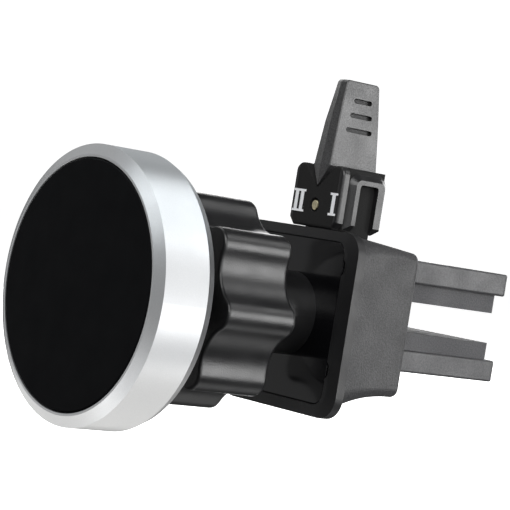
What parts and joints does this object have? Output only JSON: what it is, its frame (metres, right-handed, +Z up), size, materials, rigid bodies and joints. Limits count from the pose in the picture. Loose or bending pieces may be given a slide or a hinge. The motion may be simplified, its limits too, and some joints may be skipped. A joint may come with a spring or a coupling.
{
  "type": "car phone mount",
  "caption": "Magnetic phone holder for a car air vent: round magnetic head on a ball joint with a lobed locking collar, and a lever-worked clamp with two flat jaws.",
  "frame": {"origin": "centre of the round pad face that the phone rests on", "axes": "+Y from the phone back towards the vent, square to the pad; +Z up towards the lever; +X to the right of someone who faces the phone"},
  "size_m": [0.0408, 0.0751, 0.0573],
  "materials": {
    "pad": "smooth satin rubber",
    "ring": "bead-blasted, clear anodised",
    "steel": "zinc plated",
    "magnet": "nickel plated",
    "black_satin": "fine texture, satin",
    "black_gloss": "polished",
    "dark_grey": "fine spark texture",
    "nylon": "natural nylon",
    "soft_grey": "matt",
    "brass": "nickel-brass, plain turned",
    "white_print": "pad print"
  },
  "bodies": {
    "clamp_body": {"front_cover": "black_satin", "front_panel": "black_gloss", "body_shell": "dark_grey", "body_screws": "steel", "ball_socket": "black_satin", "socket_screws": "steel", "lever_bracket": "black_satin", "bracket_screws": "steel", "position_marks": "white_print", "lever_pin": "brass", "guide_rods": "steel", "upper_jaw": "dark_grey", "upper_jaw_pad": "soft_grey", "upper_jaw_keeper": "steel", "upper_jaw_screws": "steel"},
    "collar": {"locking_collar": "black_satin"},
    "ball_seat": {"front_ball_liner": "nylon", "rear_ball_liner": "nylon"},
    "ball": {"ball_stud": "black_satin"},
    "head": {"face_pad": "pad", "head_ring": "ring", "magnet_carrier": "black_satin", "magnets": "magnet", "magnet_plate": "steel", "head_back_cover": "black_satin", "head_screws": "steel"},
    "lever": {"clamp_lever": "dark_grey", "cam_pin": "steel"},
    "moving_jaw": {"jaw_slide": "black_satin", "lower_jaw": "dark_grey", "lower_jaw_pad": "soft_grey", "lower_jaw_screws": "steel"}
  },
  "joints": [
    {"name": "collar_turn", "type": "hinge", "parent": "clamp_body", "child": "collar", "pos_m": [0, 0.0215, 0], "axis": [0, 1, 0], "range_deg": [-150, 0]},
    {"name": "ball_turn", "type": "hinge", "parent": "clamp_body", "child": "ball_seat", "pos_m": [0, 0.0215, 0], "axis": [0, 1, 0], "continuous": true},
    {"name": "ball_tilt", "type": "hinge", "parent": "ball_seat", "child": "ball", "pos_m": [0, 0.0215, 0], "axis": [1, 0, 0], "range_deg": [-20, 20]},
    {"name": "head_turn", "type": "hinge", "parent": "ball", "child": "head", "pos_m": [0, 0.0065, 0], "axis": [0, 1, 0], "continuous": true},
    {"name": "lever_swing", "type": "hinge", "parent": "clamp_body", "child": "lever", "pos_m": [0, 0.0463, 0.017], "axis": [0, 1, 0], "range_deg": [-7, 7]},
    {"name": "jaw_slide", "type": "slide", "parent": "clamp_body", "child": "moving_jaw", "axis": [0, 0, 1], "range_m": [-0.00122, 0.00122]}
  ],
  "couplings": [
    {"joint": "jaw_slide", "follows": "lever_swing", "m_per_rad": -0.0098221}
  ]
}
